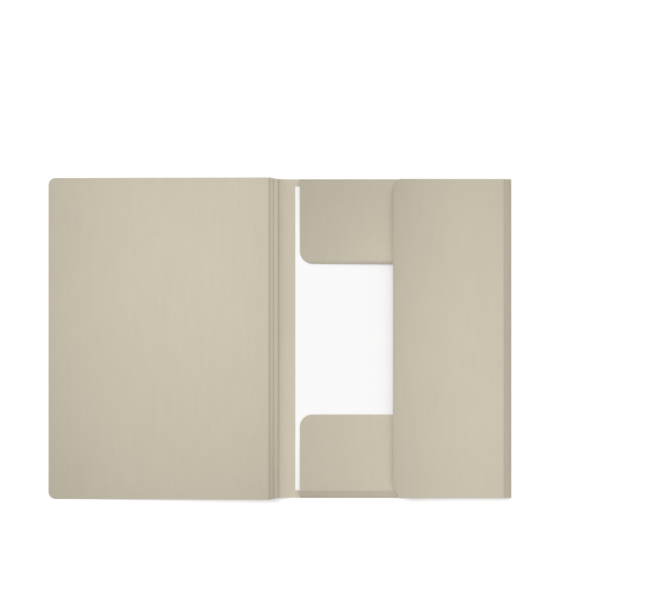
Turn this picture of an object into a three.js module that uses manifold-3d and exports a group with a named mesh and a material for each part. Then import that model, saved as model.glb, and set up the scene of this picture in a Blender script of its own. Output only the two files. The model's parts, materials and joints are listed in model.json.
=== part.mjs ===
// Three flap folder of thin card, lying open on a table with a few sheets of paper in it.
// One die cut sheet is creased into a front cover, a spine, a back panel, two end flaps
// and a side flap. It is divided only at the creases where the cover and the side flap swing.
// Millimetres, +Z up, the cover opened towards -X. The origin is under the middle of the folder.
import * as THREE from 'three';
import { mergeVertices } from 'three/addons/utils/BufferGeometryUtils.js';
import Module from 'manifold-3d';

// Card
const cardThickness = 0.4;
const creaseGap = 0.25; // from a crease's axis to the edge of the card on either side of it
const layerGap = 0.3; // between one layer and the layer that it lies on
const foldRadius = 0.5; // of the card's middle, where it is folded without a gap

// Back panel, which lies on the table
const backWidth = 228.4;
const backHeight = 312;
const backLiftLength = 17; // the strip beside the spine that rises off the table
const backLiftAngle = rad(20);

// Spine, with a score line along its middle
const spineWidth = 8.9;
const spineTilt = rad(18);
const scoreDepth = 0.12;
const scoreWidth = 0.7;

// Front cover
const coverWidth = 216.6;
const coverOverhang = 1.3; // past the back panel, at the top and at the bottom
const coverEaseLength = 70; // the stretch in which the cover levels out onto the table
const coverCornerRadius = 7;

// Top and bottom flaps, alike, folded in from the two ends of the back panel
const endFlapLength = 74;
const endFlapLeftInset = 21.5; // from the spine's crease
const endFlapRightInset = 16; // from the back panel's right edge
const endFlapCornerRadius = 12;
const endFlapEaseLength = 40; // the stretch in which the flap levels out onto the paper
const endGussetWidth = 7.2; // between its two folds
const endGussetAngle = rad(18); // above the back panel

// Side flap, folded in from the right over both end flaps
const sideFlapLength = 108.6;
const sideFlapCornerLength = 6.5; // of the cut corner, along X
const sideFlapCornerHeight = 12; // of the cut corner, along Y
const sideFlapCurlLength = 70; // the stretch beside the free edge that curls up
const sideFlapCurlAngle = rad(4);
const sideGussetWidth = 8.2;
const sideFoldHeight = 0.7; // of the fold's axis above the table

// Paper, lying on the back panel against the side flap's fold
const paperWidth = 210;
const paperHeight = 297;
const paperRightInset = 1.15; // from the back panel's right edge
const sheetThickness = 0.1;
const sheetCount = 4;
const paperSeatGap = 0.1;

// Finish of the surfaces
const cardColour = '#c9c0ad';
const paperColour = '#f5f5f3';

const bendStep = rad(15); // of turn, for each facet of a fold
const curlSteps = 6; // facets along a gentle curve
const arcSegments = 12; // facets round a corner in plan
const reach = 40; // how far a cutting outline runs past the card, above and below

const coverHeight = backHeight + 2 * coverOverhang;

const wasm = await Module();
wasm.setup();

function rad(degrees) {
  return THREE.MathUtils.degToRad(degrees);
}

// The middle line of a bent card: a list of places and headings, followed from a start.
// A move runs straight for its length, or turns by an angle on the way.
function bendLine(start, heading, moves) {
  const line = [{ x: start.x, y: start.y, heading }];
  for (const { run, turn = 0 } of moves) {
    const tight = Math.abs(turn) / bendStep;
    const steps = turn === 0 ? 1 : Math.max(curlSteps, Math.ceil(tight));
    for (let step = 0; step < steps; step += 1) {
      const last = line.at(-1);
      const middle = last.heading + turn / steps / 2;
      const chord = turn === 0 ? run : (2 * run / turn) * Math.sin(turn / steps / 2);
      line.push({
        x: last.x + chord * Math.cos(middle),
        y: last.y + chord * Math.sin(middle),
        heading: last.heading + turn / steps,
      });
    }
  }
  return line;
}

// A fold of the card's middle line round the fold radius
function fold(angle) {
  return { run: foldRadius * angle, turn: angle };
}

// The outline of the card's section, half a thickness to either side of its middle line
function sectionOf(line) {
  const side = (offset) => line.map(({ x, y, heading }) => new THREE.Vector2(
    x - offset * Math.sin(heading),
    y + offset * Math.cos(heading),
  ));
  const half = cardThickness / 2;
  return new THREE.Shape([...side(-half), ...side(half).reverse()]);
}

function extrude(shape, depth) {
  return new THREE.ExtrudeGeometry(shape, {
    depth,
    bevelEnabled: false,
    curveSegments: arcSegments,
  });
}

// A section drawn in X and Z, extruded along Y and centred on it
function sweepAlongY(shape, width) {
  return extrude(shape, width).rotateX(Math.PI / 2).translate(0, width / 2, 0);
}

// A section drawn in Y and Z, extruded along X from a start
function sweepAlongX(shape, start, width) {
  return extrude(shape, width).rotateX(Math.PI / 2).rotateZ(Math.PI / 2).translate(start, 0, 0);
}

// A flat piece of card with this outline in X and Y, its middle at z = 0
function plate(outline) {
  return extrude(outline, cardThickness).translate(0, 0, -cardThickness / 2);
}

// A tall block with this outline, for trimming a bent card to its plan
function trimmer(outline) {
  return solidOf(extrude(outline, 2 * reach).translate(0, 0, -reach));
}

// A card bent along a middle line in X and Z, this wide in Y, trimmed to its outline in plan
function bentPanel(line, width, outline) {
  return geometryOf(solidOf(sweepAlongY(sectionOf(line), width)).intersect(trimmer(outline)));
}

function solidOf(geometry) {
  const bare = geometry.clone();
  bare.deleteAttribute('normal');
  bare.deleteAttribute('uv');
  const merged = mergeVertices(bare, 1e-5);
  return new wasm.Manifold(new wasm.Mesh({
    numProp: 3,
    vertProperties: new Float32Array(merged.attributes.position.array),
    triVerts: new Uint32Array(merged.index.array),
  }));
}

function geometryOf(solid) {
  const { vertProperties, triVerts } = solid.getMesh();
  const geometry = new THREE.BufferGeometry();
  geometry.setAttribute('position', new THREE.BufferAttribute(vertProperties, 3));
  geometry.setIndex(new THREE.BufferAttribute(triVerts, 1));
  geometry.computeVertexNormals();
  return geometry;
}

function cardMaterial() {
  return new THREE.MeshStandardMaterial({ color: cardColour, roughness: 0.88, metalness: 0 });
}

function paperMaterial() {
  return new THREE.MeshStandardMaterial({ color: paperColour, roughness: 0.9, metalness: 0 });
}

function named(name, geometry, material) {
  const mesh = new THREE.Mesh(geometry, material);
  mesh.name = name;
  return mesh;
}

// The back panel's middle line, from its right edge to the lifted edge beside the spine
function backLine() {
  const liftRadius = backLiftLength / backLiftAngle;
  const liftRun = liftRadius * Math.sin(backLiftAngle);
  const flatRun = backWidth - liftRun - creaseGap * Math.cos(backLiftAngle);
  return bendLine({ x: backWidth, y: cardThickness / 2 }, Math.PI, [
    { run: flatRun },
    { run: backLiftLength, turn: -backLiftAngle },
  ]);
}

// The spine's crease stands at x = 0, as high as the lifted edge of the back panel
function spineCreaseHeight() {
  return backLine().at(-1).y + creaseGap * Math.sin(backLiftAngle);
}

function paperTop() {
  return cardThickness + paperSeatGap + sheetCount * sheetThickness;
}

// The top flap's middle line in Y and Z: from inside the back panel round its outer fold,
// up the gusset, round the inner fold and down to the free edge just over the paper
function endFlapLine() {
  const half = cardThickness / 2;
  const rootLength = 4 * cardThickness;
  const gussetRise = endGussetWidth * Math.sin(endGussetAngle) + 2 * foldRadius;
  const freeEdgeHeight = paperTop() + layerGap + half;
  const drop = half + gussetRise - freeEdgeHeight;
  const straightRun = endFlapLength - endFlapEaseLength;
  const slope = drop / (straightRun + endFlapEaseLength / 2);
  const start = { x: backHeight / 2 - foldRadius - half - rootLength, y: half };
  return bendLine(start, 0, [
    { run: rootLength },
    fold(Math.PI - endGussetAngle),
    { run: endGussetWidth },
    fold(endGussetAngle + slope),
    { run: straightRun },
    { run: endFlapEaseLength, turn: -slope },
  ]);
}

function endFlapTop() {
  return Math.max(...endFlapLine().map(({ y }) => y)) + cardThickness / 2;
}

// The end flap's plan, with its two free corners rounded
function endFlapOutline(left, right, freeEdge) {
  const corner = endFlapCornerRadius;
  const beyond = backHeight / 2 + cardThickness;
  const outline = new THREE.Shape();
  outline.moveTo(left, beyond);
  outline.lineTo(left, freeEdge + corner);
  outline.absarc(left + corner, freeEdge + corner, corner, Math.PI, 1.5 * Math.PI, false);
  outline.lineTo(right - corner, freeEdge);
  outline.absarc(right - corner, freeEdge + corner, corner, 1.5 * Math.PI, 2 * Math.PI, false);
  outline.lineTo(right, beyond);
  return outline;
}

function backPanelWithEndFlaps() {
  const left = endFlapLeftInset;
  const right = backWidth - endFlapRightInset;
  const line = endFlapLine();
  const bent = solidOf(sweepAlongX(sectionOf(line), left, right - left));
  const topFlap = bent.intersect(trimmer(endFlapOutline(left, right, line.at(-1).x)));
  const bottomFlap = topFlap.rotate([0, 0, 180]).translate([left + right, 0, 0]);
  const panel = solidOf(sweepAlongY(sectionOf(backLine()), backHeight));
  return named('back_panel_with_end_flaps', geometryOf(panel.add(topFlap).add(bottomFlap)),
    cardMaterial());
}

// The spine runs along -X from its crease and grows from the back panel's height to the cover's
function spine() {
  const outline = new THREE.Shape([
    new THREE.Vector2(-creaseGap, -backHeight / 2),
    new THREE.Vector2(-creaseGap, backHeight / 2),
    new THREE.Vector2(creaseGap - spineWidth, coverHeight / 2),
    new THREE.Vector2(creaseGap - spineWidth, -coverHeight / 2),
  ]);
  const middle = -spineWidth / 2;
  const face = cardThickness / 2;
  const groove = new THREE.Shape([
    new THREE.Vector2(middle - scoreWidth, face + scoreDepth),
    new THREE.Vector2(middle, face - scoreDepth),
    new THREE.Vector2(middle + scoreWidth, face + scoreDepth),
  ]);
  const scored = solidOf(plate(outline)).subtract(solidOf(sweepAlongY(groove, 2 * coverHeight)));
  return named('spine', geometryOf(scored), cardMaterial());
}

// The cover's slope where it leaves its crease, from which it levels out onto the table
function coverSlope() {
  const height = spineCreaseHeight() - cardThickness / 2 + spineWidth * Math.sin(spineTilt);
  return height / (coverWidth - coverEaseLength / 2);
}

// The front cover runs along -X from its crease, with its two outer corners rounded
function frontCover() {
  const line = bendLine({ x: -creaseGap, y: 0 }, Math.PI, [
    { run: coverWidth - coverEaseLength - creaseGap },
    { run: coverEaseLength, turn: -coverSlope() },
  ]);
  const corner = coverCornerRadius;
  const top = coverHeight / 2;
  const outer = line.at(-1).x;
  const outline = new THREE.Shape();
  outline.moveTo(0, -top);
  outline.lineTo(0, top);
  outline.lineTo(outer + corner, top);
  outline.absarc(outer + corner, top - corner, corner, 0.5 * Math.PI, Math.PI, false);
  outline.lineTo(outer, corner - top);
  outline.absarc(outer + corner, corner - top, corner, Math.PI, 1.5 * Math.PI, false);
  return named('front_cover', bentPanel(line, coverHeight, outline), cardMaterial());
}

// The side gusset runs along +X from its fold, as if it were opened flat
function sideGusset() {
  const start = layerGap;
  const end = sideGussetWidth - creaseGap;
  const half = backHeight / 2;
  const outline = new THREE.Shape([
    new THREE.Vector2(start, -half),
    new THREE.Vector2(end, -half),
    new THREE.Vector2(end, half),
    new THREE.Vector2(start, half),
  ]);
  return named('side_gusset', plate(outline), cardMaterial());
}

// The side flap runs along +X from its crease, as if it were opened, face down:
// the curl of its free edge, which turns up when the flap is folded in, turns down here
function sideFlap() {
  const line = bendLine({ x: creaseGap, y: 0 }, 0, [
    { run: sideFlapLength - sideFlapCurlLength - creaseGap },
    { run: sideFlapCurlLength, turn: -sideFlapCurlAngle },
  ]);
  const half = backHeight / 2;
  const freeEdge = line.at(-1).x;
  const outline = new THREE.Shape([
    new THREE.Vector2(0, -half),
    new THREE.Vector2(freeEdge - sideFlapCornerLength, -half),
    new THREE.Vector2(freeEdge, sideFlapCornerHeight - half),
    new THREE.Vector2(freeEdge, half - sideFlapCornerHeight),
    new THREE.Vector2(freeEdge - sideFlapCornerLength, half),
    new THREE.Vector2(0, half),
  ]);
  return named('side_flap', bentPanel(line, backHeight, outline), cardMaterial());
}

function paperSheets() {
  const thickness = sheetCount * sheetThickness;
  const geometry = new THREE.BoxGeometry(paperWidth, paperHeight, thickness);
  const sheets = named('paper_sheets', geometry, paperMaterial());
  const middle = backWidth - paperRightInset - paperWidth / 2;
  sheets.position.set(middle, 0, paperTop() - thickness / 2);
  return sheets;
}

// A crease is a group that turns about Y, with what swings on it inside
function crease(x, z, angle, ...swinging) {
  const group = new THREE.Group();
  group.position.set(x, 0, z);
  group.rotation.y = angle;
  group.add(...swinging);
  return group;
}

function coverAndSpine() {
  const cover = crease(-spineWidth, 0, -spineTilt - coverSlope(), frontCover());
  return crease(0, spineCreaseHeight(), spineTilt, spine(), cover);
}

function gussetAndSideFlap() {
  const flapHeight = endFlapTop() + layerGap + cardThickness / 2;
  const gussetAngle = Math.asin((flapHeight - sideFoldHeight) / sideGussetWidth);
  const flap = crease(sideGussetWidth, 0, -gussetAngle, sideFlap());
  return crease(backWidth, sideFoldHeight, gussetAngle - Math.PI, sideGusset(), flap);
}

const sheet = new THREE.Group();
sheet.add(backPanelWithEndFlaps(), coverAndSpine(), gussetAndSideFlap(), paperSheets());
const span = new THREE.Box3().setFromObject(sheet, true);
sheet.position.x = -(span.min.x + span.max.x) / 2;

const folder = new THREE.Group();
folder.add(sheet);

export default folder;
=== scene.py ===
import json
import math

import bpy
import numpy as np
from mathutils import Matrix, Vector


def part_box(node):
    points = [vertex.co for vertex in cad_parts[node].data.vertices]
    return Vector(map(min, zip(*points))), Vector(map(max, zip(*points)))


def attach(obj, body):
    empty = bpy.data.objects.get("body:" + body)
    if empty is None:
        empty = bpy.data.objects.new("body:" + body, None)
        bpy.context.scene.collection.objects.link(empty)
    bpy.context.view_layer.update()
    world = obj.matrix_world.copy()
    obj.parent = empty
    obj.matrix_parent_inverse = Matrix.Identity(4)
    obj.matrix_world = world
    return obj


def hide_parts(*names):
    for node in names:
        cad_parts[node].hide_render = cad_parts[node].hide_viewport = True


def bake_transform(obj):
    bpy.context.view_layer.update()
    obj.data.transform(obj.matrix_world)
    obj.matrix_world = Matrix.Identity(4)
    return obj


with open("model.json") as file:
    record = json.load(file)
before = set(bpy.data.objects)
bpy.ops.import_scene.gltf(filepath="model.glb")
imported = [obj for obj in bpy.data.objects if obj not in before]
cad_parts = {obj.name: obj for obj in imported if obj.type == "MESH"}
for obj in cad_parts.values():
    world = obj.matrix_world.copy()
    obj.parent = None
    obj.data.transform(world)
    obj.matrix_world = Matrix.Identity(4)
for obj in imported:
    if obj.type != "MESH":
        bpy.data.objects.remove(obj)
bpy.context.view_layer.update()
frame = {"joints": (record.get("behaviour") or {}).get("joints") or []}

# Three flap folder of thin card, lying open on a table with a few sheets of paper in it.
# Each panel is a thin closed shell, bent from one flat sheet. Narrow strips of the same card
# carry the sheet across the four creases that swing. Metres, in the frame's own axes.
MM = 0.001

# Card
THICKNESS = 0.4 * MM
HALF = THICKNESS / 2
CREASE_GAP = 0.25 * MM  # from a crease's axis to the panel on either side of it
SCORE_DEPTH = 0.07 * MM
SCORE_WIDTH = 0.65 * MM
RIDGE_SHARE = 0.5  # how much of a score's depth shows as a ridge on the other side
CREASE_SHADE_AND_STAIN_WIDTH = 0.95 * MM  # of the darker line along a crease: painted shade, with some darkening of the pressed card
COVER_SHADE_AND_STAIN_WIDTH = 1.25 * MM  # of the wider one at the cover crease
COVER_SHADE_AND_STAIN_SHIFT = 0.5 * MM  # of that line, from the cover crease towards the spine
BACK_SHADE_AND_STAIN_SHIFT = 0.8 * MM  # and from the spine crease towards the back panel
FOLD_SHADE_AND_STAIN = 0.5  # strength of that line at a round fold
FLAP_SHADE_AND_STAIN = 0.35  # and at the side flap's crease
FLAP_SCORE = 0.5  # share of the score's depth at that crease
STRIP_STEPS = 8

# Back panel, with the strip beside the spine that rises off the table
LIFT_LENGTH = 17 * MM
LIFT_ANGLE = math.radians(20)

# Front cover
COVER_EASE = 70 * MM  # the stretch in which it levels out onto the table
COVER_CORNER = 7 * MM

# Top and bottom flaps
FOLD_RADIUS = 0.5 * MM
END_LENGTH = 74 * MM
END_LEFT_INSET = 21.5 * MM  # from the spine's crease
END_RIGHT_INSET = 16 * MM  # from the side fold
END_CORNER = 12 * MM
END_EASE = 40 * MM
END_GUSSET_WIDTH = 7.2 * MM
END_GUSSET_ANGLE = math.radians(18)
END_CLEARANCE = 0.3 * MM  # from the paper to the free edge above it
SLIT = 0.1 * MM  # between an end flap's side and the panel beside its fold
END_SEEN_WIDTH = 85 * MM  # of an end flap, from its left side to near the side flap
TOP_RIM_WIDTH = 1.9 * MM  # of the painted shadow along the top flap's free edge
TOP_FLAP_LIFT = 1.4 * MM  # of its free edge off the paper, where it passes under the side flap
TOP_FLAP_REACH = 1.1 * MM  # by which it lies further in than the bottom flap
TOP_LIFT_RUN = 95 * MM  # from the flap's left side, over which the free edge lifts

# Side flap
SIDE_CURL_LENGTH = 70 * MM
SIDE_CURL_ANGLE = math.radians(4)
SIDE_CORNER_LENGTH = 6.5 * MM
SIDE_CORNER_HEIGHT = 12 * MM
SIDE_FOLD_RADIUS = 0.4 * MM
SIDE_RIM_WIDTH = 2 * MM  # of the painted shade along the free edge
SIDE_RIPPLE_SHIFT = 0.1  # metres, so that its waves differ from the other panels'

# Paper
SHEET_COUNT = 4
SHEET_GAP = 0.01 * MM
SHEET_SLIPS = ((0.0, 0.0), (0.25, -0.2), (-0.2, 0.25), (0.1, 0.05))  # of each sheet, millimetres

# Mesh density
STEP = 4 * MM
FINE = MM * np.array([0, 0.2, 0.4, 0.7, 1.1, 1.6, 2.4, 3.6])
CORNER_STEPS = 10
OUTER_FOLD_STEPS = 12
GUSSET_STEPS = 4
INNER_FOLD_STEPS = 5
PAPER_ROWS = 54
SHARP_ANGLE = math.radians(40)
FAR_AWAY = 1.0  # a distance at which no crease shows
SPINE_STEPS = 42  # even, so that a row of places lies on the middle score

# Soft waves that a large panel of card keeps
RIPPLE_HEIGHT = 0.12 * MM
RIPPLE_FADE = 25 * MM

# Looks
CARD_COLOUR = (0.578, 0.527, 0.418)
CARD_EDGE_COLOUR = (0.60, 0.55, 0.45)
# The darker colour along creases and folds: painted shade, with some darkening of the pressed card
SHADE_AND_STAIN_COLOUR = (0.44, 0.375, 0.29)
PAPER_COLOUR = (0.95, 0.95, 0.948)

# Light: a wide soft sun from the top left over an even sky
SKY_LEVEL = 0.68
SUN_SHARE = 0.32
SUN_ELEVATION = math.radians(35)
SUN_AZIMUTH = math.radians(155)
SUN_SIZE = math.radians(30)
FLOOR_SIZE = 8.0
FLOOR_COLOUR = (0.8, 0.8, 0.8)
FLOOR_TOP_UP = 0.33
FLOOR_DROP = 0.05 * MM  # below the folder, so that the two never share a plane

# Camera, straight above the table
VIEW_MIDDLE = (0.04926, 0.04264)
VIEW_WIDTH = 0.6468
CAMERA_HEIGHT = 1.5
SENSOR_WIDTH = 36.0


def crease_axis(name):
    """Place of a hinge's axis, in X and Z."""
    joint = next(j for j in frame["joints"] if j["name"] == name)
    return np.array([joint["pos_m"][0], joint["pos_m"][2]])


SPINE_AXIS = crease_axis("spine_crease")
COVER_AXIS = crease_axis("cover_crease")
FOLD_AXIS = crease_axis("gusset_fold")
FLAP_AXIS = crease_axis("side_flap_crease")
BACK_HALF_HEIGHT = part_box("back_panel_with_end_flaps")[1].y
COVER_HALF_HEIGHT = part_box("front_cover")[1].y


def direction(heading):
    return np.array([math.cos(heading), math.sin(heading)])


def along(start, heading, moves, distance):
    """Place and heading at this distance along a line of straight runs and arcs."""
    place = np.array(start, float)
    for run, turn in moves:
        step = min(distance, run)
        bend = turn * step / run
        chord = step if bend == 0 else 2 * run / turn * math.sin(bend / 2)
        place = place + chord * direction(heading + bend / 2)
        heading += bend
        distance -= step
        if distance <= 0:
            break
    return [*place, heading]


def follow(start, heading, moves, distances):
    return np.array([along(start, heading, moves, d) for d in distances])


def stations(length, start=0.0, fine_start=False, fine_end=False, corner=0.0):
    """Distances from start to length, close together beside a crease and round a corner."""
    first = start + (FINE if fine_start else np.zeros(1))
    last = np.array([length])
    if fine_end:
        last = length - FINE[::-1]
    if corner:
        turn = np.linspace(math.pi / 2, 0, CORNER_STEPS)
        last = length - corner * (1 - np.cos(turn))
    count = max(2, math.ceil((last[0] - first[-1]) / STEP) + 1)
    middle = np.linspace(first[-1], last[0], count)[1:-1]
    return np.concatenate([first, middle, last])


def corner_inset(distance, radius):
    """How far a rounded corner pulls the side in, at a distance from the end."""
    short = np.clip(radius - distance, 0, radius)
    return radius - np.sqrt(radius ** 2 - short ** 2)


def bump_of(distance, width):
    return np.exp(-((distance / width) ** 2))


def ripple(x, y):
    """Height of the soft waves of a panel, from -1 to 1."""
    long_wave = np.sin(31 * x + 17 * y + 0.6) * np.cos(23 * y - 9 * x)
    short_wave = np.sin(58 * x - 37 * y + 2.1) * np.cos(49 * y + 21 * x + 0.8)
    return 0.65 * long_wave + 0.35 * short_wave


def swept(line, lows, highs, columns):
    """Middle and normals of card that follows a line in X and Z, its upper face out."""
    x, z, heading = line.T
    share = np.linspace(0, 1, columns)[None, :]
    middle = np.empty((len(x), columns, 3))
    middle[..., 0] = x[:, None]
    middle[..., 1] = lows[:, None] + (highs - lows)[:, None] * share
    middle[..., 2] = z[:, None]
    normal = np.zeros_like(middle)
    normal[..., 0] = np.sin(heading)[:, None]
    normal[..., 2] = -np.cos(heading)[:, None]
    return middle, normal


def shell(middle, normal, groove=0.0, stain=0.0, tone=1.0, kept=None, half=HALF):
    """A closed thin shell around a grid of places: its vertices, faces, walls and tints."""
    rows, columns = middle.shape[:2]
    depth = np.broadcast_to(groove, (rows, columns))[..., None]
    outer = (middle + normal * (half - depth)).reshape(-1, 3)
    inner = (middle - normal * (half + RIDGE_SHARE * depth)).reshape(-1, 3)
    number = np.arange(rows * columns).reshape(rows, columns)
    cells = np.stack([number[:-1, :-1], number[1:, :-1], number[1:, 1:], number[:-1, 1:]], -1)
    if kept is None:
        kept = np.ones(cells.shape[:2], bool)
    faces = cells[kept]
    a, b, d = (outer[faces[0, k]] for k in (0, 1, 3))
    if np.dot(np.cross(b - a, d - a), normal.reshape(-1, 3)[faces[0, 0]]) < 0:
        faces = faces[:, ::-1]
    sides = np.concatenate([faces[:, [k, (k + 1) % 4]] for k in range(4)])
    keys = np.sort(sides, axis=1) @ np.array([rows * columns, 1])
    _, first, count = np.unique(keys, return_index=True, return_counts=True)
    rim = sides[first[count == 1]]
    shift = rows * columns
    walls = np.stack([rim[:, 1], rim[:, 0], rim[:, 0] + shift, rim[:, 1] + shift], -1)
    quads = np.concatenate([faces, faces[:, ::-1] + shift, walls])
    used, quads = np.unique(quads, return_inverse=True)
    tints = [np.broadcast_to(t, (rows, columns)).reshape(-1) for t in (stain, tone)]
    return {
        "places": np.concatenate([outer, inner])[used],
        "faces": quads.reshape(-1, 4),
        "walls": len(walls),
        "tints": [np.concatenate([t, t])[used] for t in tints],
    }


def piece(name, shells, face_material, edge_material):
    """One object made of shells, with a separate finish on their cut edges."""
    places, faces, kinds = [], [], []
    tints = [[], []]
    offset = 0
    for part in shells:
        places.append(part["places"])
        faces.append(part["faces"] + offset)
        kind = np.zeros(len(part["faces"]), int)
        kind[len(kind) - part["walls"]:] = 1
        kinds.append(kind)
        for kept, tint in zip(tints, part["tints"]):
            kept.append(tint)
        offset += len(part["places"])
    mesh = bpy.data.meshes.new(name)
    mesh.from_pydata(np.concatenate(places).tolist(), [], np.concatenate(faces).tolist())
    mesh.materials.append(face_material)
    mesh.materials.append(edge_material)
    mesh.polygons.foreach_set("material_index", np.concatenate(kinds))
    # The two attributes carry painted shade along creases and folds, with some pressed card, and
    # painted light and shade over the panels
    for label, values in zip(("stain", "tone"), tints):
        attribute = mesh.attributes.new(label, "FLOAT", "POINT")
        attribute.data.foreach_set("value", np.concatenate(values).astype(np.float32))
    mesh.shade_smooth()
    mesh.set_sharp_from_angle(angle=SHARP_ANGLE)
    mesh.update()
    made = bpy.data.objects.new(name, mesh)
    bpy.context.scene.collection.objects.link(made)
    return made


def card_piece(name, shells):
    return piece(name, shells, CARD, CARD_EDGE)


# Tones: light and shade painted into the card's colour, from place to place

def cover_painted_shading(x, y):
    """Painted light and shade: lightest right of the middle, a little below the top edge."""
    low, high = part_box("front_cover")
    across = (x - low.x) / (high.x - low.x)
    down = (high.y - y) / (high.y - low.y)
    return 1.03 * (1 - 0.27 * (across - 0.68) ** 2) * (1 - 0.25 * (down - 0.25) ** 2)


# Painted light: the spine a little lighter than the cover beside it
def spine_painted_shading(x, y):
    return 1.09 * cover_painted_shading(0 * x + COVER_AXIS[0], y)


def strip_painted_shading(x, y):
    """Painted light and shade on the strip of the back panel beside the spine, lightest half way
    across.
    """
    across = (x - SPINE_AXIS[0]) / LIFT_LENGTH
    down = (BACK_HALF_HEIGHT - y) / (2 * BACK_HALF_HEIGHT)
    return 1.0 + 0.065 * bump_of(across - 0.5, 0.42) + 0.035 * (down - 0.5)


def side_flap_painted_shading(x, y):
    """Painted shade: darker towards the free edge, more so near the top."""
    low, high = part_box("side_flap")
    across = (x - low.x) / (high.x - low.x)
    down = (high.y - y) / (high.y - low.y)
    edge = 1 - 0.05 * bump_of(x - low.x, SIDE_RIM_WIDTH)
    return 1.03 * edge * (1 - 0.19 * (across - 0.75) ** 2) * (1 - 0.25 * (down - 0.6) ** 2)


def end_flap_place(x, y):
    """Shares of the way across the seen half of an end flap, and in from its fold."""
    across = np.clip((x - SPINE_AXIS[0] - END_LEFT_INSET) / END_SEEN_WIDTH, 0, 1.2)
    inward = np.clip((BACK_HALF_HEIGHT - np.abs(y)) / END_LENGTH, 0, 1)
    return across, inward


def end_gusset_painted_shade(y, strength):
    """Painted shade: darker between an end flap's two folds."""
    ridge = BACK_HALF_HEIGHT - END_GUSSET_WIDTH
    return 1 - strength * np.clip((np.abs(y) - ridge) / MM + 0.5, 0, 1)


def top_flap_painted_shading(x, y):
    """Painted shade: darker than the other panels, and darkest along the free edge, as a painted
    shadow of the gap under it.
    """
    across, inward = end_flap_place(x, y)
    free_edge = BACK_HALF_HEIGHT - END_GUSSET_WIDTH - END_LENGTH - TOP_FLAP_REACH
    rim = 1 - (0.1 + 0.14 * across) * bump_of(y - free_edge, TOP_RIM_WIDTH)
    plain = 0.795 + 0.10 * across + 0.045 * inward + 0.05 * across * inward
    return plain * rim * end_gusset_painted_shade(y, 0.05)


# Painted shade: darker than the back panel, lighter to the right and further in, with a darker
# gusset
def bottom_flap_painted_shading(x, y):
    across, inward = end_flap_place(x, y)
    return (0.86 + 0.12 * across + 0.04 * inward) * end_gusset_painted_shade(y, 0.09)


# Panels

def column_count(height):
    return math.ceil(2 * height / STEP) + 1


def raised(middle, fade):
    """Adds the soft waves to a panel, nowhere below the table."""
    waves = RIPPLE_HEIGHT * ripple(middle[..., 0], middle[..., 1]) * fade
    middle[..., 2] = np.maximum(middle[..., 2] + waves, HALF)


def front_cover():
    width = COVER_AXIS[0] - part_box("front_cover")[0].x
    slope = (COVER_AXIS[1] - HALF) / (width - COVER_EASE / 2)
    distances = stations(width, CREASE_GAP, fine_start=True, corner=COVER_CORNER)
    moves = [(width - COVER_EASE, 0), (COVER_EASE, -slope)]
    line = follow(COVER_AXIS, math.pi + slope, moves, distances)
    highs = COVER_HALF_HEIGHT - corner_inset(width - distances, COVER_CORNER)
    middle, normal = swept(line, -highs, highs, column_count(COVER_HALF_HEIGHT))
    far = distances[:, None]
    raised(middle, np.clip(far / RIPPLE_FADE, 0, 1) * np.clip((width - far) / COVER_EASE, 0, 1))
    # Painted shade along the cover crease, with some pressed card, and painted light and shade
    # over the cover
    made = card_piece("cover_card", [shell(
        middle, normal, SCORE_DEPTH * bump_of(far, SCORE_WIDTH),
        bump_of(far + COVER_SHADE_AND_STAIN_SHIFT, COVER_SHADE_AND_STAIN_WIDTH),
        cover_painted_shading(middle[..., 0], middle[..., 1]),
    )])
    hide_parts("front_cover")
    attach(made, "cover")
    return math.pi + slope


def spine():
    across = COVER_AXIS - SPINE_AXIS
    width = np.linalg.norm(across)
    heading = math.atan2(across[1], across[0])
    distances = np.linspace(CREASE_GAP, width - CREASE_GAP, SPINE_STEPS + 1)
    line = follow(SPINE_AXIS, heading, [(width, 0)], distances)
    highs = np.interp(
        distances, [CREASE_GAP, width - CREASE_GAP], [BACK_HALF_HEIGHT, COVER_HALF_HEIGHT],
    )
    middle, normal = swept(line, -highs, highs, column_count(COVER_HALF_HEIGHT))
    far = distances[:, None]
    scores = (0, width / 2, width)
    # Painted shade along the spine's three creases, with some darkening of the pressed card
    shades_and_stains = (
        (-BACK_SHADE_AND_STAIN_SHIFT, CREASE_SHADE_AND_STAIN_WIDTH),
        (width / 2, CREASE_SHADE_AND_STAIN_WIDTH),
        (width - COVER_SHADE_AND_STAIN_SHIFT, COVER_SHADE_AND_STAIN_WIDTH),
    )
    made = card_piece("spine_card", [shell(
        middle, normal,
        SCORE_DEPTH * sum(bump_of(far - place, SCORE_WIDTH) for place in scores),
        np.clip(sum(bump_of(far - place, reach) for place, reach in shades_and_stains), 0, 1),
        spine_painted_shading(middle[..., 0], middle[..., 1]),
    )])
    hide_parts("spine")
    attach(made, "spine")
    return heading


def crease_strip(name, axis, inward, outward, height,
                 strength=1.0, shift=0.0, shade_and_stain_width=CREASE_SHADE_AND_STAIN_WIDTH):
    """The bit of card across a crease, rounded from one panel's heading to the other's."""
    share = np.linspace(0, 1, STRIP_STEPS + 1)[:, None]
    first = axis - CREASE_GAP * direction(inward)
    last = axis + CREASE_GAP * direction(outward)
    places = (1 - share) ** 2 * first + 2 * share * (1 - share) * axis + share ** 2 * last
    headings = inward + (outward - inward) * share
    highs = np.full(len(places), height)
    line = np.hstack([places, headings])
    middle, normal = swept(line, -highs, highs, column_count(height))
    far = CREASE_GAP * (2 * share - 1)
    # Painted shade along the crease, with some darkening of the pressed card
    made = card_piece(name, [shell(
        middle, normal, strength * SCORE_DEPTH * bump_of(far, SCORE_WIDTH),
        strength * bump_of(far + shift, shade_and_stain_width),
    )])
    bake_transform(made)


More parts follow.
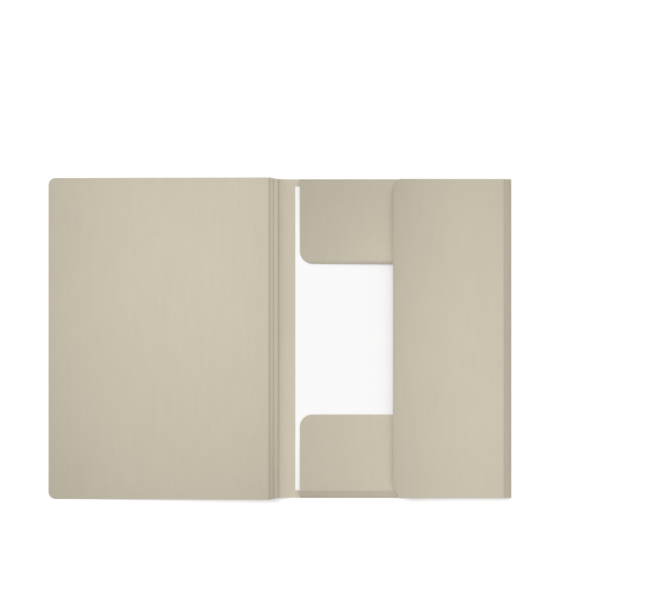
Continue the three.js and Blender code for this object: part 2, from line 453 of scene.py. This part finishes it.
def side_gusset():
    """The narrow panel between the side flap and its fold, and where that panel starts."""
    across = FLAP_AXIS - FOLD_AXIS
    width = np.linalg.norm(across)
    heading = math.atan2(across[1], across[0])
    back_up = (FOLD_AXIS[1] - HALF) / math.sin(heading)
    tangent = SIDE_FOLD_RADIUS / math.tan((math.pi - heading) / 2)
    start = tangent - back_up
    distances = stations(width - CREASE_GAP, start, fine_end=True)
    line = follow(FOLD_AXIS, heading, [(width, 0)], distances)
    highs = np.full(len(distances), BACK_HALF_HEIGHT)
    middle, normal = swept(line, -highs, highs, column_count(BACK_HALF_HEIGHT))
    far = width - distances[:, None]
    # Painted shade along the flap's crease and the round fold, with some darkening of the pressed
    # card
    made = card_piece("side_gusset_card", [shell(
        middle, normal, FLAP_SCORE * SCORE_DEPTH * bump_of(far, SCORE_WIDTH),
        FLAP_SHADE_AND_STAIN * bump_of(far, CREASE_SHADE_AND_STAIN_WIDTH)
        + FOLD_SHADE_AND_STAIN * bump_of(width - far - start, CREASE_SHADE_AND_STAIN_WIDTH),
    )])
    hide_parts("side_gusset")
    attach(made, "gusset")
    corner = FOLD_AXIS[0] - back_up * math.cos(heading)
    return heading, corner - tangent


def side_fold(heading, start):
    """The round fold between the back panel and the side gusset."""
    distances = np.linspace(0, SIDE_FOLD_RADIUS * heading, 2 * STRIP_STEPS + 1)
    moves = [(SIDE_FOLD_RADIUS * heading, heading)]
    line = follow((start, HALF), 0, moves, distances)
    highs = np.full(len(distances), BACK_HALF_HEIGHT)
    middle, normal = swept(line, -highs, highs, column_count(BACK_HALF_HEIGHT))
    # Painted shade over the round fold, with some darkening of the pressed card
    made = card_piece("side_fold_card", [shell(middle, normal, stain=FOLD_SHADE_AND_STAIN)])
    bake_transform(made)


def side_flap():
    width = FLAP_AXIS[0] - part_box("side_flap")[0].x
    distances = stations(width, CREASE_GAP, fine_start=True)
    cut = width - SIDE_CORNER_LENGTH
    distances = np.unique(np.append(distances, cut))
    moves = [(width - SIDE_CURL_LENGTH, 0), (SIDE_CURL_LENGTH, -SIDE_CURL_ANGLE)]
    line = follow(FLAP_AXIS, math.pi, moves, distances)
    inset = SIDE_CORNER_HEIGHT * np.clip((distances - cut) / SIDE_CORNER_LENGTH, 0, 1)
    highs = BACK_HALF_HEIGHT - inset
    middle, normal = swept(line, -highs, highs, column_count(BACK_HALF_HEIGHT))
    far = distances[:, None]
    waves = RIPPLE_HEIGHT * ripple(middle[..., 0] + SIDE_RIPPLE_SHIFT, middle[..., 1])
    middle[..., 2] += waves * np.clip(far / RIPPLE_FADE, 0, 1)
    # Painted shade along the crease, with some pressed card, and painted shade towards the free
    # edge
    made = card_piece("side_flap_card", [shell(
        middle, normal, FLAP_SCORE * SCORE_DEPTH * bump_of(far, SCORE_WIDTH),
        FLAP_SHADE_AND_STAIN * bump_of(far, CREASE_SHADE_AND_STAIN_WIDTH), side_flap_painted_shading(middle[..., 0], middle[..., 1]),
    )])
    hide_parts("side_flap")
    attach(made, "side_flap")


def end_flap_rows():
    """The top flap's line in Y and Z, from its outer fold to its free edge."""
    paper_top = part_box("paper_sheets")[1].z
    free_height = paper_top + END_CLEARANCE + HALF
    rise = END_GUSSET_WIDTH * math.sin(END_GUSSET_ANGLE) + 2 * FOLD_RADIUS
    straight = END_LENGTH - END_EASE
    slope = (HALF + rise - free_height) / (straight + END_EASE / 2)
    outer_turn = math.pi - END_GUSSET_ANGLE
    inner_turn = END_GUSSET_ANGLE + slope
    outer_run = FOLD_RADIUS * outer_turn
    inner_run = FOLD_RADIUS * inner_turn
    moves = [
        (outer_run, outer_turn),
        (END_GUSSET_WIDTH, 0),
        (inner_run, inner_turn),
        (straight, 0),
        (END_EASE, -slope),
    ]
    ridge = outer_run + END_GUSSET_WIDTH
    flat = ridge + inner_run
    distances = np.concatenate([
        np.linspace(0, outer_run, OUTER_FOLD_STEPS + 1)[1:],
        np.linspace(outer_run, ridge, GUSSET_STEPS + 1)[1:],
        np.linspace(ridge, flat, INNER_FOLD_STEPS + 1)[1:],
        flat + stations(END_LENGTH, corner=END_CORNER)[1:],
    ])
    start = (BACK_HALF_HEIGHT - HALF - FOLD_RADIUS, HALF)
    line = follow(start, 0, moves, distances)
    inset = corner_inset(flat + END_LENGTH - distances, END_CORNER)
    # Painted shade along the outer fold, with some darkening of the pressed card
    stain = FOLD_SHADE_AND_STAIN * bump_of(distances - outer_run / 2, CREASE_SHADE_AND_STAIN_WIDTH)
    return line, inset, stain


def back_columns(right_end):
    """Distances from the back panel's right end, and which of them an end flap spans."""
    flap_right = FOLD_AXIS[0] - END_RIGHT_INSET
    flap_left = SPINE_AXIS[0] + END_LEFT_INSET
    lift_run = LIFT_LENGTH / LIFT_ANGLE * math.sin(LIFT_ANGLE)
    lift_start = SPINE_AXIS[0] + CREASE_GAP * math.cos(LIFT_ANGLE) + lift_run
    before = stations(right_end - flap_right - SLIT)
    spanned = stations(right_end - flap_left, right_end - flap_right)
    end = right_end - lift_start + LIFT_LENGTH
    after = stations(end, right_end - flap_left + SLIT, fine_end=True)
    in_flap = np.repeat([False, True, False], [len(before), len(spanned), len(after)])
    moves = [(right_end - lift_start, 0), (LIFT_LENGTH, -LIFT_ANGLE)]
    distances = np.concatenate([before, spanned, after])
    return follow((right_end, HALF), math.pi, moves, distances), in_flap, end - distances


def lift_top_flap(middle, on_flap):
    """Lifts the top flap's free edge towards the side flap and draws it in a little."""
    x, y = middle[..., 0], middle[..., 1]
    across = np.clip((x - SPINE_AXIS[0] - END_LEFT_INSET) / TOP_LIFT_RUN, 0, 1)
    ridge = BACK_HALF_HEIGHT - END_GUSSET_WIDTH
    inward = np.clip((ridge - y) / END_LENGTH, 0, 1)
    lift = TOP_FLAP_LIFT * across * inward ** 2
    middle[..., 2] += np.where(on_flap & (y > 0), lift, 0)
    middle[..., 1] -= np.where(on_flap & (y > 0), TOP_FLAP_REACH * inward ** 2, 0)


def back_panel_with_end_flaps(right_end):
    """The back panel and both end flaps, one sheet folded over at its top and bottom."""
    columns, in_flap, from_crease = back_columns(right_end)
    flap, inset, fold_shade_and_stain = end_flap_rows()
    fold_start = BACK_HALF_HEIGHT - HALF - FOLD_RADIUS
    count = column_count(fold_start)
    panel = np.zeros((count, 3))
    panel[:, 0] = np.linspace(-fold_start, fold_start, count)
    bottom = flap[::-1] * np.array([-1, 1, -1])
    rows = np.vstack([bottom, panel, flap])
    on_panel = np.repeat([False, True, False], [len(flap), count, len(flap)])
    insets = np.concatenate([inset[::-1], np.zeros(count), inset])
    # Painted shade along both outer folds
    shades_and_stains = np.concatenate([fold_shade_and_stain[::-1], np.zeros(count), fold_shade_and_stain])

    shape = (len(rows), len(columns))
    middle = np.empty((*shape, 3))
    left, right = columns[in_flap][[-1, 0], 0]
    centre = (left + right) / 2
    shrink = 1 - 2 * insets[:, None] / (right - left)
    x = np.broadcast_to(columns[:, 0], shape)
    middle[..., 0] = np.where(in_flap[None, :], centre + (x - centre) * shrink, x)
    middle[..., 1] = rows[:, 0][:, None]
    middle[..., 2] = np.where(on_panel[:, None], columns[:, 1][None, :], rows[:, 1][:, None])
    edges = np.flatnonzero(on_panel)[[0, -1]]
    middle[edges[0], ~in_flap, 1] = -BACK_HALF_HEIGHT
    middle[edges[1], ~in_flap, 1] = BACK_HALF_HEIGHT

    normal = np.zeros_like(middle)
    normal[on_panel, :, 0] = np.sin(columns[:, 2])
    normal[on_panel, :, 2] = -np.cos(columns[:, 2])
    normal[~on_panel, :, 1] = -np.sin(rows[~on_panel, 2])[:, None]
    normal[~on_panel, :, 2] = np.cos(rows[~on_panel, 2])[:, None]

    kept = (on_panel[1:] & on_panel[:-1])[:, None] | (in_flap[1:] & in_flap[:-1])[None, :]
    near = np.where(on_panel[:, None], from_crease[None, :] + CREASE_GAP, FAR_AWAY)
    lift_top_flap(middle, ~on_panel[:, None])
    # Painted light and shade over the strip beside the spine and both end flaps; painted shade
    # along the spine crease is added below
    tone = np.where(
        on_panel[:, None], strip_painted_shading(middle[..., 0], middle[..., 1]),
        np.where(
            middle[..., 1] > 0,
            top_flap_painted_shading(middle[..., 0], middle[..., 1]),
            bottom_flap_painted_shading(middle[..., 0], middle[..., 1]),
        ),
    )
    made = card_piece("back_and_end_flaps_card", [shell(
        middle, normal, SCORE_DEPTH * bump_of(near, SCORE_WIDTH),
        np.clip(bump_of(near - BACK_SHADE_AND_STAIN_SHIFT, CREASE_SHADE_AND_STAIN_WIDTH) + shades_and_stains[:, None], 0, 1), tone, kept,
    )])
    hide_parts("back_panel_with_end_flaps")
    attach(made, "back")


def paper_stack():
    low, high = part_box("paper_sheets")
    pitch = (high.z - low.z) / SHEET_COUNT
    sheets = []
    for level, slip in enumerate(SHEET_SLIPS):
        xs = np.linspace(high.x, low.x, PAPER_ROWS) + MM * slip[0]
        height = low.z + (level + 0.5) * pitch
        line = np.column_stack([xs, np.full(len(xs), height), np.full(len(xs), math.pi)])
        lows = np.full(len(xs), low.y + MM * slip[1])
        highs = lows + (high.y - low.y)
        middle, normal = swept(line, lows, highs, column_count(high.y))
        sheets.append(shell(middle, normal, half=(pitch - SHEET_GAP) / 2))
    made = piece("paper_stack", sheets, PAPER, PAPER)
    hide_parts("paper_sheets")
    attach(made, "back")


# Materials

def new_material(name):
    material = bpy.data.materials.new(name)
    material.use_nodes = True
    tree = material.node_tree
    tree.nodes.clear()
    output = tree.nodes.new("ShaderNodeOutputMaterial")
    return material, tree, output


def noise(tree, stretch, detail=3.0, roughness=0.6):
    """Noise in the sheet's own place, with this many features per metre along each axis."""
    place = tree.nodes.new("ShaderNodeTexCoord")
    mapping = tree.nodes.new("ShaderNodeMapping")
    mapping.inputs["Scale"].default_value = stretch
    texture = tree.nodes.new("ShaderNodeTexNoise")
    texture.inputs["Scale"].default_value = 1.0
    texture.inputs["Detail"].default_value = detail
    texture.inputs["Roughness"].default_value = roughness
    tree.links.new(place.outputs["Object"], mapping.inputs["Vector"])
    tree.links.new(mapping.outputs["Vector"], texture.inputs["Vector"])
    return texture.outputs["Fac"]


def calculate(tree, operation, *values):
    made = tree.nodes.new("ShaderNodeMath")
    made.operation = operation
    for socket, value in zip(made.inputs, values):
        if isinstance(value, (int, float)):
            socket.default_value = value
        else:
            tree.links.new(value, socket)
    return made.outputs[0]


def stepped(tree, value, low, high):
    """0 below low, 1 above high and smooth between them."""
    made = tree.nodes.new("ShaderNodeMapRange")
    made.interpolation_type = "SMOOTHSTEP"
    made.inputs["From Min"].default_value = low
    made.inputs["From Max"].default_value = high
    tree.links.new(value, made.inputs["Value"])
    return made.outputs["Result"]


def varied(tree, layers):
    """1 on average, varied by each layer of noise to its own strength."""
    total = 1 - sum(strength for _, strength in layers) / 2
    for value, strength in layers:
        total = calculate(tree, "MULTIPLY_ADD", value, strength, total)
    return total


def mixed(tree, kind, factor, first, second):
    made = tree.nodes.new("ShaderNodeMix")
    made.data_type = "RGBA"
    made.blend_type = kind
    for socket, value in zip((made.inputs[0], made.inputs[6], made.inputs[7]),
                             (factor, first, second)):
        if isinstance(value, tuple):
            socket.default_value = (*value, 1.0)
        elif isinstance(value, (int, float)):
            socket.default_value = value
        else:
            tree.links.new(value, socket)
    return made.outputs[2]


def attribute(tree, name):
    made = tree.nodes.new("ShaderNodeAttribute")
    made.attribute_name = name
    return made.outputs["Fac"]


def surface(tree, output, colour, roughness, specular, height, bump_distance):
    shader = tree.nodes.new("ShaderNodeBsdfPrincipled")
    shader.inputs["Specular IOR Level"].default_value = specular
    bump = tree.nodes.new("ShaderNodeBump")
    bump.inputs["Distance"].default_value = bump_distance
    bump.inputs["Strength"].default_value = 1.0
    tree.links.new(height, bump.inputs["Height"])
    tree.links.new(bump.outputs["Normal"], shader.inputs["Normal"])
    tree.links.new(colour, shader.inputs["Base Color"])
    tree.links.new(roughness, shader.inputs["Roughness"])
    tree.links.new(shader.outputs["BSDF"], output.inputs["Surface"])


def card_material():
    """Uncoated grey beige card: upright fibre streaks, mottling and flecks, with painted light and
    shade from place to place, and darker creases of painted shade and pressed card.
    """
    material, tree, output = new_material("card")
    fibre = noise(tree, (620, 62, 620))
    streak = noise(tree, (210, 26, 210), detail=2.0)
    mottle = noise(tree, (70, 48, 70), detail=4.0)
    cloud = noise(tree, (12, 9, 12), detail=2.0)
    grain = noise(tree, (3600, 2000, 3600), detail=2.0)
    light_fleck = stepped(tree, noise(tree, (1300, 380, 1300), detail=1.0), 0.66, 0.74)
    dark_fleck = stepped(tree, noise(tree, (900, 1500, 900), detail=1.0), 0.68, 0.76)
    shade = varied(tree, [(fibre, 0.045), (streak, 0.05), (mottle, 0.045), (cloud, 0.06),
                          (grain, 0.2), (light_fleck, 0.05), (dark_fleck, -0.07)])
    # Painted light and shade: the colour scaled by the attribute of painted light and shade
    shade = calculate(tree, "MULTIPLY", shade, attribute(tree, "tone"))
    # Painted shade along creases and folds, with some pressed card, mixed towards a darker colour
    stain = calculate(tree, "MULTIPLY", attribute(tree, "stain"), 0.8)
    tinted = mixed(tree, "MIX", stain, CARD_COLOUR, SHADE_AND_STAIN_COLOUR)
    colour = mixed(tree, "MULTIPLY", 1.0, tinted, shade)
    roughness = calculate(tree, "MULTIPLY_ADD", grain, 0.12, 0.82)
    height = calculate(tree, "MULTIPLY_ADD", fibre, 0.6, calculate(tree, "MULTIPLY", grain, 0.4))
    surface(tree, output, colour, roughness, 0.25, height, 0.00005)
    return material


def card_edge_material():
    """The raw core that a cut edge shows."""
    material, tree, output = new_material("card_cut_edge")
    layers = noise(tree, (300, 300, 9000), detail=2.0)
    grain = noise(tree, (2500, 2500, 2500), detail=2.0)
    shade = varied(tree, [(layers, 0.14), (grain, 0.22)])
    colour = mixed(tree, "MULTIPLY", 1.0, CARD_EDGE_COLOUR, shade)
    roughness = calculate(tree, "MULTIPLY_ADD", grain, 0.08, 0.9)
    surface(tree, output, colour, roughness, 0.15, grain, 0.00005)
    return material


def paper_material():
    """Uncoated white paper with a faint formation of its fibres."""
    material, tree, output = new_material("paper")
    formation = noise(tree, (260, 260, 260), detail=4.0)
    grain = noise(tree, (3000, 3000, 3000), detail=2.0)
    shade = varied(tree, [(formation, 0.015), (grain, 0.02)])
    colour = mixed(tree, "MULTIPLY", 1.0, PAPER_COLOUR, shade)
    roughness = calculate(tree, "MULTIPLY_ADD", formation, 0.08, 0.84)
    surface(tree, output, colour, roughness, 0.2, grain, 0.00001)
    return material


# Stage

def seen_directly(tree):
    """1 for what the camera sees, also in gloss or through glass."""
    path = tree.nodes.new("ShaderNodeLightPath")
    seen = path.outputs["Is Camera Ray"]
    for name in ("Is Glossy Ray", "Is Transmission Ray"):
        seen = calculate(tree, "MAXIMUM", seen, path.outputs[name])
    return seen


def floor():
    reach = FLOOR_SIZE / 2
    mesh = bpy.data.meshes.new("floor")
    corners = [(-reach, -reach, -FLOOR_DROP), (reach, -reach, -FLOOR_DROP),
               (reach, reach, -FLOOR_DROP), (-reach, reach, -FLOOR_DROP)]
    mesh.from_pydata(corners, [], [(0, 1, 2, 3)])
    material, tree, output = new_material("floor")
    diffuse = tree.nodes.new("ShaderNodeBsdfDiffuse")
    diffuse.inputs["Color"].default_value = (*FLOOR_COLOUR, 1.0)
    glow = tree.nodes.new("ShaderNodeEmission")
    strength = calculate(tree, "MULTIPLY", seen_directly(tree), FLOOR_TOP_UP)
    tree.links.new(strength, glow.inputs["Strength"])
    both = tree.nodes.new("ShaderNodeAddShader")
    tree.links.new(diffuse.outputs[0], both.inputs[0])
    tree.links.new(glow.outputs[0], both.inputs[1])
    tree.links.new(both.outputs[0], output.inputs["Surface"])
    mesh.materials.append(material)
    made = bpy.data.objects.new("floor", mesh)
    bpy.context.scene.collection.objects.link(made)


def sky():
    world = bpy.data.worlds.new("sky")
    world.use_nodes = True
    tree = world.node_tree
    tree.nodes.clear()
    output = tree.nodes.new("ShaderNodeOutputWorld")
    background = tree.nodes.new("ShaderNodeBackground")
    strength = calculate(tree, "MULTIPLY_ADD", seen_directly(tree), 1 - SKY_LEVEL, SKY_LEVEL)
    tree.links.new(strength, background.inputs["Strength"])
    background.inputs["Color"].default_value = (1.0, 1.0, 1.0, 1.0)
    tree.links.new(background.outputs[0], output.inputs["Surface"])
    bpy.context.scene.world = world


def sun():
    light = bpy.data.lights.new("sun", "SUN")
    light.energy = SUN_SHARE * math.pi / math.sin(SUN_ELEVATION)
    light.angle = SUN_SIZE
    made = bpy.data.objects.new("sun", light)
    level = math.cos(SUN_ELEVATION)
    towards = Vector((
        level * math.cos(SUN_AZIMUTH), level * math.sin(SUN_AZIMUTH), math.sin(SUN_ELEVATION),
    ))
    made.rotation_mode = "QUATERNION"
    made.rotation_quaternion = towards.to_track_quat("Z", "Y")
    bpy.context.scene.collection.objects.link(made)


def camera():
    lens = bpy.data.cameras.new("camera")
    lens.sensor_fit = "HORIZONTAL"
    lens.sensor_width = SENSOR_WIDTH
    lens.lens = SENSOR_WIDTH * CAMERA_HEIGHT / VIEW_WIDTH
    made = bpy.data.objects.new("camera", lens)
    made.location = (*VIEW_MIDDLE, CAMERA_HEIGHT)
    bpy.context.scene.collection.objects.link(made)
    bpy.context.scene.camera = made


camera()
floor()
sky()
sun()
bpy.context.scene.view_settings.view_transform = "Standard"

CARD = card_material()
CARD_EDGE = card_edge_material()
PAPER = paper_material()

cover_heading = front_cover()
spine_heading = spine()
gusset_heading, back_end = side_gusset()
back_panel_with_end_flaps(back_end)
side_fold(gusset_heading, back_end)
side_flap()
crease_strip("back_spine_crease_card", SPINE_AXIS, math.pi - LIFT_ANGLE, spine_heading,
             BACK_HALF_HEIGHT, shift=BACK_SHADE_AND_STAIN_SHIFT)
crease_strip("spine_cover_crease_card", COVER_AXIS, spine_heading, cover_heading,
             COVER_HALF_HEIGHT, shift=COVER_SHADE_AND_STAIN_SHIFT,
             shade_and_stain_width=COVER_SHADE_AND_STAIN_WIDTH)
crease_strip("side_flap_crease_card", FLAP_AXIS, gusset_heading, math.pi,
             BACK_HALF_HEIGHT, strength=FLAP_SHADE_AND_STAIN)
paper_stack()
